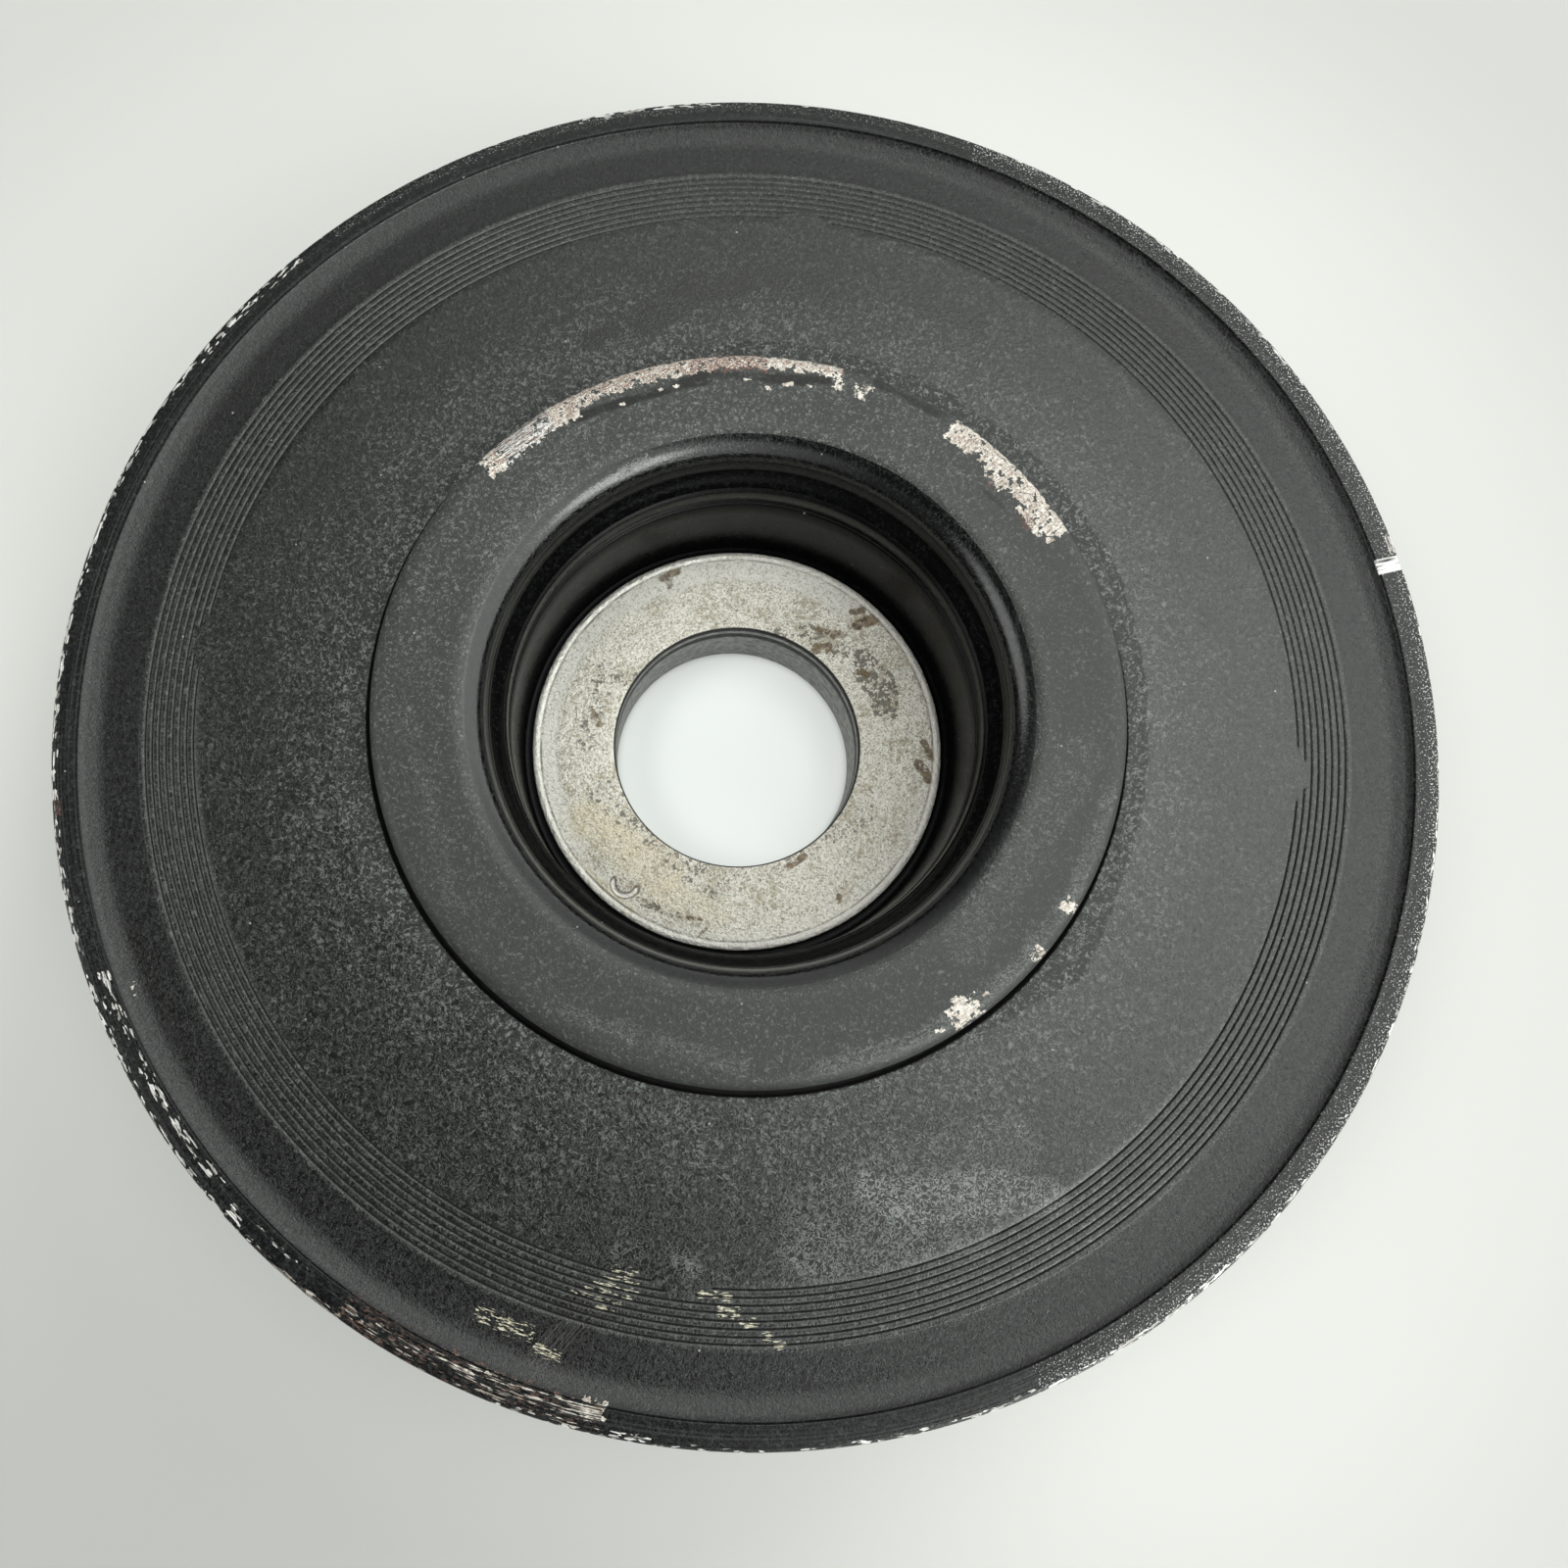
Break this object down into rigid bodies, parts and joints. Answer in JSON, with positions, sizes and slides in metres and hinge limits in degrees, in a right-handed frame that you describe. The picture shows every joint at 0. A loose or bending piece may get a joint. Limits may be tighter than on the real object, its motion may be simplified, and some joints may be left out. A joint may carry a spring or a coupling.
{
  "type": "harmonic balancer",
  "caption": "Round crankshaft damper pulley: grooved steel ring on bonded rubber round a cup-shaped hub, with a raised front flange plate, deep bolt recess and plain centre bore.",
  "frame": {"origin": "centre of the bore in the hub's rear face, which meets the crankshaft and on which the part rests", "axes": "+Z along the crankshaft axis towards the front of the engine, out of the bolt recess; +X towards the right and +Y towards the top when the part is seen from the front"},
  "size_m": [0.16, 0.16, 0.0333],
  "materials": {
    "hub_steel": "bare turned bolt seat, bore and rear face, stained and spotted with rust, with thin black paint on the recess wall",
    "flange_paint": "thin satin black paint on steel, scuffed, with bare and rusty chips along the outer edge",
    "rubber": "dull black moulded rubber",
    "ring_paint": "satin black coat with orange-peel grain, chipped to bare metal round the rim"
  },
  "bodies": {
    "root": {"hub": "hub_steel", "hub_flange": "flange_paint", "rubber_ring": "rubber", "pulley_ring": "ring_paint"}
  },
  "joints": []
}
